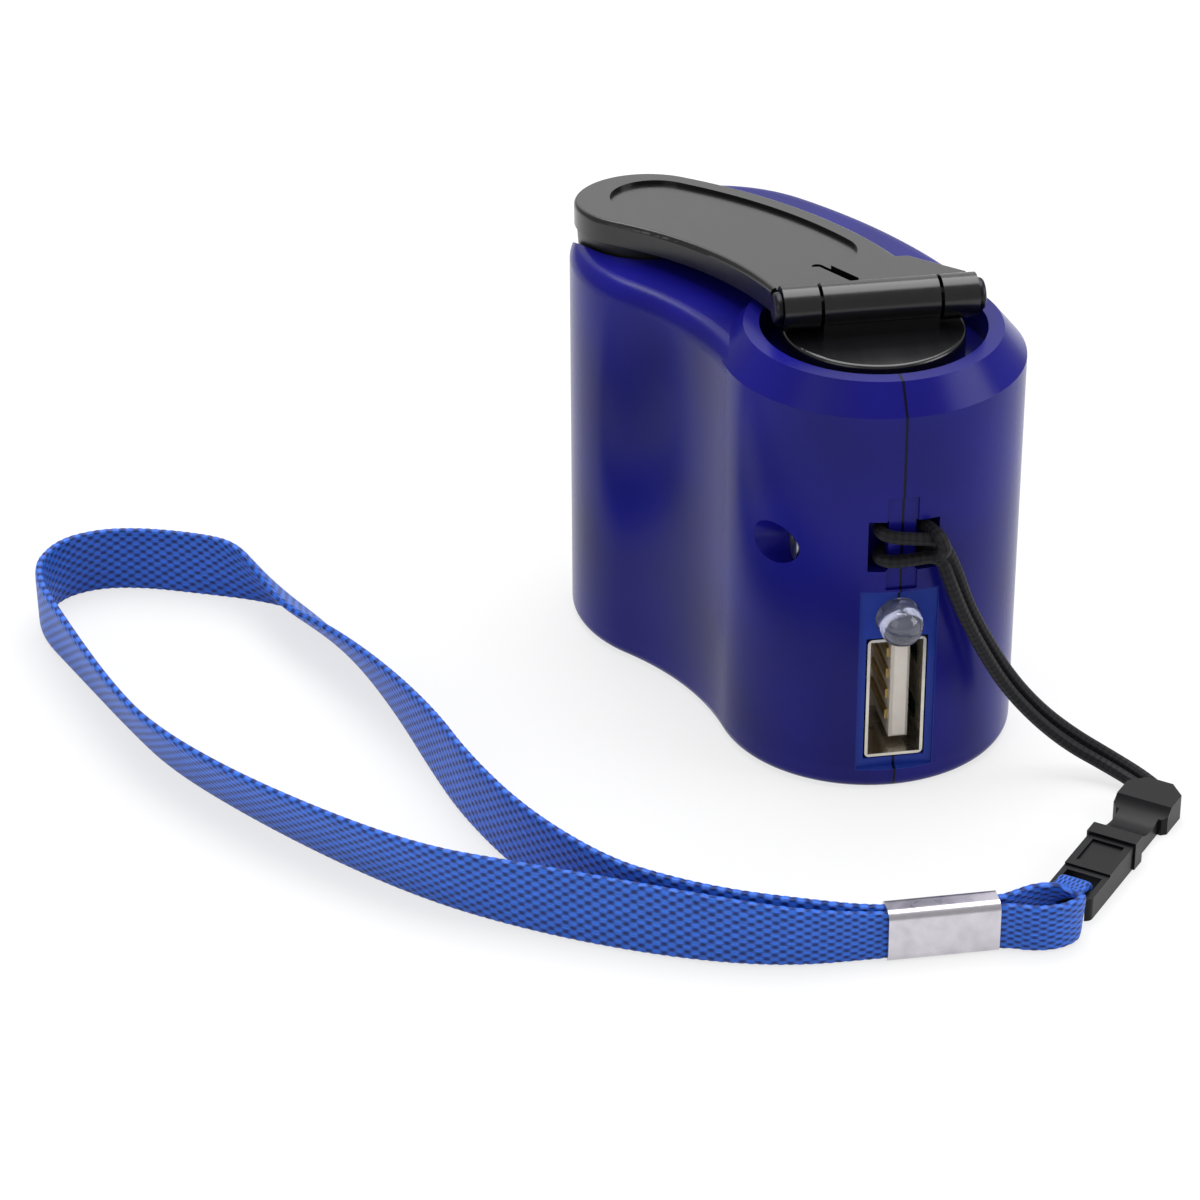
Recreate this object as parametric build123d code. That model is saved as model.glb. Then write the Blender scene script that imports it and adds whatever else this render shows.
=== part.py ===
"""Hand crank phone charger with a wrist strap, crank folded down.

Frame: origin on the base plane under the crank hub, +Z up, the power socket facing -Y.
All sizes in millimetres and degrees.
"""
import os
from math import acos, atan2, cos, degrees, hypot, pi, radians, sin, tan

from build123d import *

# ---- housing ---------------------------------------------------------------------------
MOTOR_R = 9.0
WALL = 1.8
MOTOR_ROOM = 3.84       # between the motor and the wall, which the gears and plates use
LOBE_R = MOTOR_R + MOTOR_ROOM + WALL    # round front and back ends of the kidney plan
BEND_R = 45.2           # centreline radius of the bend
BEND_START = 7.0        # direction of the front lobe, seen from the bend centre
BEND_END = 40.8         # direction of the back lobe
BASE_ROUND = 1.2
TOP_ROUND = 2.0
LOBE_TOP = 41.7         # flat top of the back lobe
RING_RISE = 1.5
RING_TOP = LOBE_TOP + RING_RISE         # flat ring round the crank hub
RING_R = 12.4
RING_DROP = 2.7         # height of the chamfer outside the ring
WELL_R = 10.875
WELL_DEPTH = 3.0
WELL_FLOOR = RING_TOP - WELL_DEPTH
WELL_FLOOR_T = 1.3
WELL_WALL = 1.5
FIT = 0.25              # clearance of parts that drop into the housing
RUN = 0.05              # radial running clearance of pins and shafts

# ---- crank -----------------------------------------------------------------------------
HUB_DISC_R = 8.8
HUB_SINK = 0.25         # the disc's top below the ring
HUB_DISC_TOP = RING_TOP - HUB_SINK
HUB_PLAY = 0.15         # between the disc and the floor of its well
HUB_STEM_R = 3.0
HINGE_X = 0.4           # middle of the hinge, a little right of the hub
KNUCKLE_R = 2.15
EAR_CLEAR = 0.3         # under the ears of the arm
HINGE_Z = HUB_DISC_TOP + EAR_CLEAR + KNUCKLE_R
KNUCKLE_L = 11.2
EAR_L = 3.45
EAR_GAP = 0.35
PIN_R = 0.9
PIN_HEAD_R = 1.6
PIN_HEAD_T = 0.7
PIN_PLAY = 0.1          # between a pin head and its ear
ARM_TILT = 3.4          # slope of the folded arm towards its tip
ARM_RISE = 1.15         # top of the arm above the hinge's axis
ARM_TOP = HINGE_Z + ARM_RISE
ARM_T = 2.4
ARM_MID_R = 43.55       # centreline of the arm about the bend centre
ARM_HALF = 7.3
ARM_TIP = 50.2          # direction of the tip centre, seen from the bend centre
ARM_EDGE = 0.5          # rounding of its top edges
PANEL_SHIFT = 0.9       # the sunk panel is nearer to the arm's back edge
PANEL_HALF = 4.5
PANEL_START = 22.3
PANEL_DEPTH = 0.4
NOTCH_AT = (-2.6, 5.6)  # slot between the panel and the hinge
NOTCH_TURN = -62.0
NOTCH_L, NOTCH_W = 6.4, 1.1
KNOB_R = 7.05
KNOB_END_R = 6.3
KNOB_L = 13.0
KNOB_GAP = 0.15         # end play between the knob and the arm
KNOB_SHAFT_R = 1.6
KNOB_BORE_L = 7.5       # bearing length in the knob
SCREW_HEAD_R = 2.8
CAP_T = 1.0
CAP_R = 3.6
POCKET_R = 7.5
POCKET_FLOOR = 28.2
POCKET_WALL = 1.2

# ---- gear train ------------------------------------------------------------------------
MODULE = 0.5
BACKLASH = 0.12
DRIVE_TEETH, FIRST_TEETH, SECOND_TEETH, PINION_TEETH = 44, 32, 30, 10
AXLE_R = 0.6
PLATE_T = 1.0
PLATE_FRONT = 4.0       # front edge of the lower plate
PLATE_GAP = 0.2         # under the floor of the well
UPPER_PLATE = WELL_FLOOR - WELL_FLOOR_T - PLATE_GAP - PLATE_T
GEAR_W = 2.0
DRIVE_GAP = 0.5
DRIVE_W = 2.6
DRIVE_Z = UPPER_PLATE - DRIVE_GAP - DRIVE_W
FIRST_DROP = 3.1        # from the drive gear down to the first wheel
SECOND_DROP = 7.5       # and on down to the second
PLATE_DROP = 2.6        # and on down to the lower plate
FIRST_Z = DRIVE_Z - FIRST_DROP
SECOND_Z = FIRST_Z - SECOND_DROP
LOWER_PLATE = SECOND_Z - PLATE_DROP
AXIAL_PLAY = 0.12
CLUTCH_R = 4.0
PILLAR_R = 1.2

# ---- motor -----------------------------------------------------------------------------
MOTOR_OFFSET = (1.7, 2.9)   # from the middle of the back lobe
MOTOR_L = 15.0
MOTOR_CAP_T = 2.2
SHAFT_R = 0.75

# ---- power socket, lamp and board ------------------------------------------------------
FACET_Y = -13.9
FACET_W = 7.5
FACET_BOTTOM, FACET_TOP = 2.3, 22.0
SOCKET_Z = 9.98
SOCKET_W, SOCKET_H = 5.12, 12.5    # opening, narrow side along X
SOCKET_SHELL = 0.3
SOCKET_L = 12.0
TONGUE_X = 0.8
TONGUE_T = 1.84
TONGUE_H = 11.1
TONGUE_BACK = 1.5       # how far the tongue stands back from the mouth
LAMP_R = 2.1
LAMP_Z = 18.78
LAMP_FLANGE_R = 2.5
LAMP_OUT = 1.35         # straight part of the lens in front of the face
BOARD_X = 3.1
BOARD_T = 1.0
BOARD_Y0, BOARD_Y1 = -11.4, 11.0
BOARD_Z0, BOARD_Z1 = 2.6, 20.6

# ---- screws and lanyard bar ------------------------------------------------------------
SCREW_R = 1.0
SCREW_BOSS_R = 2.3
SCREW_SEAT_R = 2.1
FRONT_SCREW = (-9.3, 25.6)         # y and z of the front screw, which runs along X
BACK_SCREW = (32.4, 4.0)           # y and z of the back screw, under the motor
BAR_W = 2.6
BAR_T = 1.4
BAR_SINK = 0.35         # the bar's face behind the wall's face
BAR_Z0, BAR_Z1 = 24.3, 29.6
SINK_W = 3.0
SINK_Z0, SINK_Z1 = 22.3, 32.1      # ends of the sunk strip that the bar is the middle of
SLOT_LEFT, SLOT_RIGHT = -3.25, 3.6
SLOT_DEPTH = 3.2

# ---- lanyard ---------------------------------------------------------------------------
CORD_R = 0.62
STRAP_W = 7.4
STRAP_NECK = 4.9        # height to which the strap is pressed together in the crimp
STRAP_T = 0.9
LAYER_GAP = 0.2         # between the two layers of strap in the crimp
CRIMP_GAP = 0.1         # round them
CRIMP_T = 0.4
CRIMP_L, CRIMP_H = 10.4, STRAP_NECK + CRIMP_T + 0.05
CRIMP_AT = (-1.9, -41.9)
BUCKLE_AT = (17.74, -30.03)
BUCKLE_TURN = 51.2      # heading of the buckle from its strap end to its cord end
BUCKLE_W = 4.6
BUCKLE_T = 2.6
CAP_HALF = 2.8          # half width of the plate over the cord
CAP_L = 5.2
BUCKLE_L = 22.0
BUCKLE_BAR = 1.6        # thickness of the bars that the cord and the strap go round
BUCKLE_SLOT = 2.3       # slots beside those bars
BUCKLE_LIFT = 1.5       # height of the bars above the table
TAIL_T = 2.4            # thinner end that the strap goes round
TAIL_L = 4.6
REACH = 60.0            # longer than the housing, for cuts that run right through it
SPLIT = 0.8             # where the halves of the buckle meet
TONGUE_L = 4.6          # depth of the clip's tongue and prongs in the socket

BEND = Vector(-BEND_R * cos(radians(BEND_START)), -BEND_R * sin(radians(BEND_START)))


def polar(radius, angle, centre=BEND):
    """Point in plan at a radius and direction about a centre."""
    return Vector(centre.X + radius * cos(radians(angle)), centre.Y + radius * sin(radians(angle)))


def arc_about(radius, start, end, centre=BEND):
    middle = polar(radius, (start + end) / 2, centre)
    return ThreePointArc(polar(radius, start, centre), middle, polar(radius, end, centre))


def bent_bar(mid_radius, half, start, end):
    """Plan face of a bar that follows the bend, with both ends round."""
    first, last = polar(mid_radius, start), polar(mid_radius, end)
    edges = [
        arc_about(mid_radius + half, start, end),
        arc_about(half, end, end + 180, last),
        arc_about(mid_radius - half, end, start),
        arc_about(half, start + 180, start + 360, first),
    ]
    return make_face(edges)


def kidney(inset):
    return bent_bar(BEND_R, LOBE_R - inset, BEND_START, BEND_END)


def slab(face, bottom, top):
    return extrude(Pos(0, 0, bottom) * face, amount=top - bottom)


def rod(radius, bottom, top, x=0.0, y=0.0):
    return Pos(x, y, bottom) * Cylinder(radius, top - bottom, align=(Align.CENTER, Align.CENTER, Align.MIN))


def rod_x(radius, x0, x1, y, z):
    return Pos((x0 + x1) / 2, y, z) * Rot(0, 90, 0) * Cylinder(radius, x1 - x0)


def rod_y(radius, y0, y1, x, z):
    return Pos(x, (y0 + y1) / 2, z) * Rot(90, 0, 0) * Cylinder(radius, y1 - y0)


def box(x0, x1, y0, y1, z0, z1):
    return Pos((x0 + x1) / 2, (y0 + y1) / 2, (z0 + z1) / 2) * Box(x1 - x0, y1 - y0, z1 - z0)


TIP = polar(ARM_MID_R, ARM_TIP)
BACK_LOBE = polar(BEND_R, BEND_END)


# ---- places of the gears ---------------------------------------------------------------
def pitch_r(teeth):
    return MODULE * teeth / 2


def step_from(start, distance, heading):
    return Vector(start.X + distance * cos(radians(heading)), start.Y + distance * sin(radians(heading)))


def heading(start, end):
    return degrees(atan2(end.Y - start.Y, end.X - start.X))


def meeting_point(first, first_r, second, second_r):
    """The left one of the two points at given distances from two others."""
    apart = hypot(second.X - first.X, second.Y - first.Y)
    along = (apart**2 + first_r**2 - second_r**2) / (2 * apart)
    turn = degrees(acos(along / first_r))
    return step_from(first, first_r, heading(first, second) + turn)


FIRST_HEADING = 93.5
HUB = Vector(0, 0)
MOTOR_AT = Vector(BACK_LOBE.X + MOTOR_OFFSET[0], BACK_LOBE.Y + MOTOR_OFFSET[1])
FIRST_AT = step_from(HUB, pitch_r(DRIVE_TEETH) + pitch_r(PINION_TEETH), FIRST_HEADING)
SECOND_AT = meeting_point(FIRST_AT, pitch_r(FIRST_TEETH) + pitch_r(PINION_TEETH),
                          MOTOR_AT, pitch_r(SECOND_TEETH) + pitch_r(PINION_TEETH))
INNER_WALL = BEND_R - LOBE_R + WALL     # inside faces of the housing, about the bend centre
OUTER_WALL = BEND_R + LOBE_R - WALL
PILLARS = (
    polar(INNER_WALL + PILLAR_R + 0.85, 22.2),
    polar(OUTER_WALL - PILLAR_R - 0.4, 14.5),
    polar(OUTER_WALL - PILLAR_R - 0.4, 39.0),
)


def tooth_profile(teeth, phase):
    """Closed outline of a 20 degree involute gear with one tooth centred on the phase angle."""
    pitch = pitch_r(teeth)
    base = pitch * cos(radians(20))
    tip = pitch + MODULE
    root = pitch - 1.25 * MODULE
    half = pi / (2 * teeth) - BACKLASH / (4 * pitch)
    inv20 = tan(radians(20)) - radians(20)
    start = max(base, root)
    radii = [start + (tip - start) * k / 3 for k in range(4)]
    flank = []
    for r in radii:
        roll = max(r * r / (base * base) - 1, 0) ** 0.5
        flank.append((r, half + inv20 - (roll - atan2(roll, 1))))
    points = []
    for n in range(teeth):
        middle = radians(phase) + 2 * pi * n / teeth
        points.append((root, middle - flank[0][1] * 1.05))
        points += [(r, middle - a) for r, a in flank if r > root]
        points += [(r, middle + a) for r, a in reversed(flank) if r > root]
        points.append((root, middle + flank[0][1] * 1.05))
    return [(r * cos(a), r * sin(a)) for r, a in points]


def gear(at, teeth, phase, bottom, width):
    face = make_face(Polyline(*tooth_profile(teeth, phase), close=True))
    return Pos(at.X, at.Y, bottom) * extrude(face, amount=width)


def meshed_phase(driver_teeth, driver_phase, teeth, line):
    """Phase of a gear whose gap faces the driver's tooth along the line of centres."""
    past = ((line - driver_phase) * driver_teeth / 360) % 1
    return line + 180 - (0.5 - past) * 360 / teeth


def build_gears():
    parts = {}
    drive = gear(HUB, DRIVE_TEETH, 0.0, DRIVE_Z, DRIVE_W) - rod(CLUTCH_R, DRIVE_Z - 1, DRIVE_Z + DRIVE_W + 1)
    for turn in range(6):
        spot = step_from(HUB, 7.2, 60 * turn)
        drive -= rod(1.7, DRIVE_Z - 1, DRIVE_Z + DRIVE_W + 1, spot.X, spot.Y)
    parts["drive_gear"] = drive
    ring = rod(CLUTCH_R, DRIVE_Z, DRIVE_Z + DRIVE_W) - rod(HUB_STEM_R + RUN, DRIVE_Z - 1, DRIVE_Z + DRIVE_W + 1)
    parts["clutch_ring"] = ring

    floor = LOWER_PLATE + PLATE_T + AXIAL_PLAY
    ceiling = UPPER_PLATE - AXIAL_PLAY
    phase = meshed_phase(DRIVE_TEETH, 0.0, PINION_TEETH, FIRST_HEADING)
    first = gear(FIRST_AT, PINION_TEETH, phase, FIRST_Z + GEAR_W, ceiling - FIRST_Z - GEAR_W)
    first += gear(FIRST_AT, FIRST_TEETH, 0.0, FIRST_Z, GEAR_W)
    first += rod(1.6, floor, FIRST_Z, FIRST_AT.X, FIRST_AT.Y)
    first -= rod(AXLE_R + RUN, floor - 1, ceiling + 1, FIRST_AT.X, FIRST_AT.Y)
    parts["first_gear"] = first

    phase = meshed_phase(FIRST_TEETH, 0.0, PINION_TEETH, heading(FIRST_AT, SECOND_AT))
    mesh_top = FIRST_Z + GEAR_W + 0.6
    second = gear(SECOND_AT, PINION_TEETH, phase, SECOND_Z + GEAR_W, mesh_top - SECOND_Z - GEAR_W)
    second += gear(SECOND_AT, SECOND_TEETH, 0.0, SECOND_Z, GEAR_W)
    second += rod(1.6, floor, SECOND_Z, SECOND_AT.X, SECOND_AT.Y)
    second += rod(1.4, mesh_top, ceiling, SECOND_AT.X, SECOND_AT.Y)
    second -= rod(AXLE_R + RUN, floor - 1, ceiling + 1, SECOND_AT.X, SECOND_AT.Y)
    parts["second_gear"] = second

    phase = meshed_phase(SECOND_TEETH, 0.0, PINION_TEETH, heading(SECOND_AT, MOTOR_AT))
    pinion = gear(MOTOR_AT, PINION_TEETH, phase, SECOND_Z - 0.4, GEAR_W + 0.8)
    pinion -= rod(SHAFT_R, SECOND_Z - 2, SECOND_Z + GEAR_W + 2, MOTOR_AT.X, MOTOR_AT.Y)
    parts["motor_pinion"] = pinion
    shaft_bottom = LOWER_PLATE - MOTOR_L + MOTOR_CAP_T
    parts["motor_shaft"] = rod(SHAFT_R, shaft_bottom, SECOND_Z + GEAR_W + 0.4, MOTOR_AT.X, MOTOR_AT.Y)
    return parts


# ---- frame plates, axles and pillars ---------------------------------------------------
def pocket_cut(extra, bottom, top):
    """The knob's half-round bay, open towards the back, grown by extra."""
    r = POCKET_R + extra
    return rod(r, bottom, top, TIP.X, TIP.Y) + box(TIP.X - r, TIP.X + r, TIP.Y, TIP.Y + 20, bottom, top)


def build_frame():
    parts = {}
    plan = kidney(WALL + FIT)
    lower = slab(plan, LOWER_PLATE, LOWER_PLATE + PLATE_T) & box(-REACH, REACH, PLATE_FRONT, REACH, 0, REACH)
    lower -= rod(SHAFT_R + 0.6, 0, REACH, MOTOR_AT.X, MOTOR_AT.Y)
    upper = slab(plan, UPPER_PLATE, UPPER_PLATE + PLATE_T) - pocket_cut(POCKET_WALL + FIT, 0, REACH)
    upper = upper & box(TIP.X - POCKET_R, REACH, -REACH, 32, 0, REACH)
    upper = max(upper.solids(), key=lambda s: s.volume)
    upper -= rod(HUB_STEM_R + 0.3, 0, REACH)
    axles = []
    for at in (FIRST_AT, SECOND_AT):
        axles.append(rod(AXLE_R, LOWER_PLATE, UPPER_PLATE + PLATE_T, at.X, at.Y))
        lower -= rod(AXLE_R, 0, REACH, at.X, at.Y)
        upper -= rod(AXLE_R, 0, REACH, at.X, at.Y)
    pillars = [rod(PILLAR_R, LOWER_PLATE + PLATE_T, UPPER_PLATE, at.X, at.Y) for at in PILLARS]
    parts["gear_plate_lower"] = lower
    parts["gear_plate_upper"] = upper
    parts["gear_axles"] = Compound(children=axles)
    parts["plate_pillars"] = Compound(children=pillars)
    return parts


# ---- motor -----------------------------------------------------------------------------
def build_motor():
    parts = {}
    x, y = MOTOR_AT.X, MOTOR_AT.Y
    top = LOWER_PLATE
    bottom = top - MOTOR_L
    can = rod(MOTOR_R, bottom + MOTOR_CAP_T, top, x, y)
    can = fillet(can.edges().filter_by(GeomType.CIRCLE).sort_by(Axis.Z)[-1], 0.6)
    can -= rod(MOTOR_R - 0.8, bottom + MOTOR_CAP_T - 1, top - 0.8, x, y)
    can -= rod(SHAFT_R + RUN, 0, REACH, x, y)
    parts["motor_can"] = can
    cap = rod(MOTOR_R, bottom, bottom + MOTOR_CAP_T, x, y) + rod(3.2, bottom - 0.8, bottom, x, y)
    parts["motor_end_cap"] = cap
    tabs = [box(x + dx - 1.2, x + dx + 1.2, y - MOTOR_R - 1.4, y - MOTOR_R + 0.9, bottom - 0.4, bottom)
            for dx in (-3.0, 3.0)]
    parts["motor_terminals"] = Compound(children=tabs)
    return parts


# ---- socket, lamp, board ---------------------------------------------------------------
def socket_block(grow, y0, y1):
    w, h = SOCKET_W / 2 + grow, SOCKET_H / 2 + grow
    return box(-w, w, y0, y1, SOCKET_Z - h, SOCKET_Z + h)


def build_socket():
    parts = {}
    back = FACET_Y + SOCKET_L
    shell = socket_block(SOCKET_SHELL, FACET_Y, back)
    shell = fillet(shell.edges().filter_by(Axis.Y), 0.5)
    shell -= socket_block(0, FACET_Y - 1, back - SOCKET_SHELL)
    for side in (-1, 1):
        for z in (SOCKET_Z - 3.2, SOCKET_Z + 3.2):
            edge = side * (SOCKET_W / 2 + SOCKET_SHELL / 2)
            shell -= box(edge - 0.4, edge + 0.4, FACET_Y + 2.2, FACET_Y + 6.2, z - 1.1, z + 1.1)
    parts["socket_shell"] = shell
    tongue_x0 = TONGUE_X - TONGUE_T / 2
    insulator = box(tongue_x0, tongue_x0 + TONGUE_T, FACET_Y + TONGUE_BACK, back - 2.6,
                    SOCKET_Z - TONGUE_H / 2, SOCKET_Z + TONGUE_H / 2)
    insulator = chamfer(insulator.faces().sort_by(Axis.Y)[0].edges(), 0.3)
    insulator += socket_block(0, back - 3.2, back - SOCKET_SHELL)
    contacts = []
    for k in range(4):
        z = SOCKET_Z + (k - 1.5) * 2.3
        contacts.append(box(tongue_x0 - 0.25, tongue_x0, FACET_Y + 2.6, back - 3.2, z - 0.5, z + 0.5))
    parts["socket_tongue"] = insulator
    parts["socket_contacts"] = Compound(children=contacts)
    return parts


def build_lamp():
    front = FACET_Y - LAMP_OUT
    lens = rod_y(LAMP_R, front, FACET_Y + 2.8, 0, LAMP_Z) + Pos(0, front, LAMP_Z) * Sphere(LAMP_R)
    flange_back = FACET_Y + 2.8
    lens += rod_y(LAMP_FLANGE_R, flange_back - 0.9, flange_back, 0, LAMP_Z)
    lens -= socket_block(SOCKET_SHELL + 0.1, FACET_Y, flange_back + 1)
    legs = [rod_y(0.25, flange_back, flange_back + 4.5, dx, LAMP_Z) for dx in (-1.27, 1.27)]
    return {"lamp_lens": lens, "lamp_legs": Compound(children=legs)}


def build_board():
    parts = {}
    board = box(BOARD_X, BOARD_X + BOARD_T, BOARD_Y0, BOARD_Y1, BOARD_Z0, BOARD_Z1)
    board = fillet(board.edges().filter_by(Axis.X), 0.8)
    parts["circuit_board"] = board
    face = BOARD_X
    cap_y, cap_z = 6.2, 7.6
    can = rod_x(3.0, face - 8.0, face - 0.05, cap_y, cap_z)
    can = fillet(can.edges().filter_by(GeomType.CIRCLE).sort_by(Axis.X)[0], 0.4)
    parts["storage_capacitor"] = can
    coil = rod_x(2.4, face - 3.4, face - 0.05, 5.6, 15.8) - rod_x(0.9, face - 4, face - 2.4, 5.6, 15.8)
    parts["choke_coil"] = coil
    diodes = []
    for k in range(4):
        y = -7.2 + 3.4 * k
        diodes.append(box(BOARD_X + BOARD_T + 0.05, BOARD_X + BOARD_T + 2.0, y - 1.1, y + 1.1, 4.4, 8.6))
    parts["bridge_diodes"] = Compound(children=diodes)
    chip = box(BOARD_X + BOARD_T + 0.05, BOARD_X + BOARD_T + 1.5, -5.5, -0.6, 11.5, 16.4)
    parts["regulator_chip"] = chip
    return parts


# ---- housing shells --------------------------------------------------------------------
def outer_body():
    lobe = slab(kidney(0), 0, LOBE_TOP)
    lobe = fillet(lobe.faces().sort_by(Axis.Z)[-1].edges(), TOP_ROUND)
    lobe = fillet(lobe.faces().sort_by(Axis.Z)[0].edges(), BASE_ROUND)
    skirt = rod(LOBE_R, RING_TOP - RING_DROP - 6, RING_TOP - RING_DROP)
    cone = Pos(0, 0, RING_TOP - RING_DROP / 2) * Cone(LOBE_R, RING_R, RING_DROP)
    return lobe + skirt + cone


def screw_bosses():
    """Round bosses that carry the two case screws, one from the left and one from the right."""
    front = rod_x(SCREW_BOSS_R, -12, 12, *FRONT_SCREW)
    back = rod_x(SCREW_BOSS_R, -23, 2, *BACK_SCREW)
    return front + back


def housing():
    outer = outer_body()
    ceiling = LOBE_TOP - WALL
    body = outer - slab(kidney(WALL), WALL, ceiling)
    well_base = WELL_FLOOR - WELL_FLOOR_T
    inner = rod(WELL_R + WELL_WALL, well_base, RING_TOP)
    inner += pocket_cut(POCKET_WALL, POCKET_FLOOR - POCKET_WALL, LOBE_TOP)
    inner += screw_bosses()
    inner += box(SLOT_LEFT - 1.2, SLOT_RIGHT + 1.2, -LOBE_R, -LOBE_R + SLOT_DEPTH + 1.2, BAR_Z0 - 1.1, BAR_Z1 + 1.1)
    ledge = slab(kidney(WALL - 0.2) - kidney(WALL + 1.2), LOWER_PLATE - 1.2, LOWER_PLATE)
    ledge -= rod(MOTOR_R + FIT, 0, LOWER_PLATE, MOTOR_AT.X, MOTOR_AT.Y)
    inner += ledge & box(-REACH, REACH, PLATE_FRONT, REACH, 0, REACH)
    body += inner & outer
    body -= rod(WELL_R, WELL_FLOOR, RING_TOP + 1)
    body -= rod(HUB_STEM_R + RUN, well_base - 1, REACH)
    body -= pocket_cut(0, POCKET_FLOOR, LOBE_TOP + 4)
    body -= box(-FACET_W / 2, FACET_W / 2, -LOBE_R - 1, FACET_Y, FACET_BOTTOM, FACET_TOP)
    body -= socket_block(SOCKET_SHELL + 0.15, -LOBE_R - 1, -8)
    body -= rod_y(LAMP_R + 0.1, -LOBE_R - 1, -10, 0, LAMP_Z)
    bar_front = -LOBE_R + BAR_SINK
    bar = box(-BAR_W / 2, BAR_W / 2, -LOBE_R - 1, bar_front + BAR_T, BAR_Z0 - 1, BAR_Z1 + 1)
    body -= box(SLOT_LEFT, SLOT_RIGHT, -LOBE_R - 1, -LOBE_R + SLOT_DEPTH, BAR_Z0, BAR_Z1) - bar
    body -= box(-SINK_W / 2, SINK_W / 2, -LOBE_R - 1, bar_front, SINK_Z0, SINK_Z1)
    return body


def left_region():
    """Everything left of the parting surface, which runs along the middle of the bend."""
    far = BEND_END + 25
    beyond = polar(BEND_R, far)
    edges = [
        Line((0, -30), (0, 0)),
        arc_about(BEND_R, BEND_START, far),
        Polyline((beyond.X, beyond.Y), (-60, beyond.Y), (-60, -30), (0, -30)),
    ]
    return slab(make_face(edges), -5, REACH)


def case_screw(side, seat, y, z, length):
    """A screw along X whose head faces the given side."""
    head = rod_x(SCREW_SEAT_R - 0.25, min(seat, seat - side * 1.6), max(seat, seat - side * 1.6), y, z)
    shank = rod_x(SCREW_R, min(seat, seat - side * length), max(seat, seat - side * length), y, z)
    slot = rod_x(0.8, seat - 0.9, seat + 0.9, y, z)
    return head + shank - slot


def build_housing():
    body = housing()
    left = body & left_region()
    right = body - left_region()
    y, z = FRONT_SCREW
    left_seat = -9.4
    left -= rod_x(SCREW_SEAT_R, -20, left_seat + 1.6, y, z)
    left -= rod_x(SCREW_R + 0.15, -20, 0, y, z)
    right -= rod_x(SCREW_R, -1, left_seat + 19.0, y, z)
    front = case_screw(-1, left_seat, y, z, 18.0)
    y, z = BACK_SCREW
    right_seat = -3.6
    right -= rod_x(SCREW_SEAT_R, right_seat - 1.6, 20, y, z)
    right -= rod_x(SCREW_R + 0.15, -30, 20, y, z)
    left -= rod_x(SCREW_R, right_seat - 14.0, 20, y, z)
    back = case_screw(1, right_seat, y, z, 13.0)
    keep = [max(piece.solids(), key=lambda s: s.volume) for piece in (left, right)]
    return {"shell_left": keep[0], "shell_right": keep[1], "case_screws": Compound(children=[front, back])}


# ---- crank -----------------------------------------------------------------------------
def build_hub():
    disc = rod(HUB_DISC_R, WELL_FLOOR + HUB_PLAY, HUB_DISC_TOP)
    disc = fillet(disc.edges().filter_by(GeomType.CIRCLE).sort_by(Axis.Z)[-1], 0.4)
    stem_end = DRIVE_Z - 0.1
    hub = disc + rod(HUB_STEM_R, stem_end, HUB_DISC_TOP - 1)
    x0, x1 = HINGE_X - KNUCKLE_L / 2, HINGE_X + KNUCKLE_L / 2
    hub += rod_x(KNUCKLE_R, x0, x1, 0, HINGE_Z)
    hub += box(x0, x1, -KNUCKLE_R * 0.8, KNUCKLE_R * 0.8, HUB_DISC_TOP - 1, HINGE_Z)
    hub -= rod_x(PIN_R, x0 - 1, x1 + 1, 0, HINGE_Z)
    hub -= rod(0.9, stem_end - 1, stem_end + 5)
    washer = rod(4.3, stem_end - 0.6, stem_end) - rod(1.0, stem_end - 2, stem_end + 1)
    screw = rod(0.9, stem_end - 0.6, stem_end + 4.6) + rod(1.9, stem_end - 1.9, stem_end - 0.6)
    return {"crank_hub": hub, "hub_washer": washer, "hub_screw": screw}


def arm_plan():
    """Plan of the arm: a bent bar with a straight hinge end."""
    bar = bent_bar(ARM_MID_R, ARM_HALF, BEND_START, ARM_TIP)
    front = make_face(Polyline((-REACH, 0.4), (REACH, 0.4), (REACH, REACH), (-REACH, REACH), close=True))
    half = KNUCKLE_L / 2 + EAR_GAP + EAR_L
    right = HINGE_X + half
    end = make_face(Polyline((HINGE_X - half, 0.0), (right, 0.0), (right, 3.4), (right - 4.6, 8.4),
                             (-10.0, 8.4), (HINGE_X - half, 4.0), close=True))
    return (bar & front) + end


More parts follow.
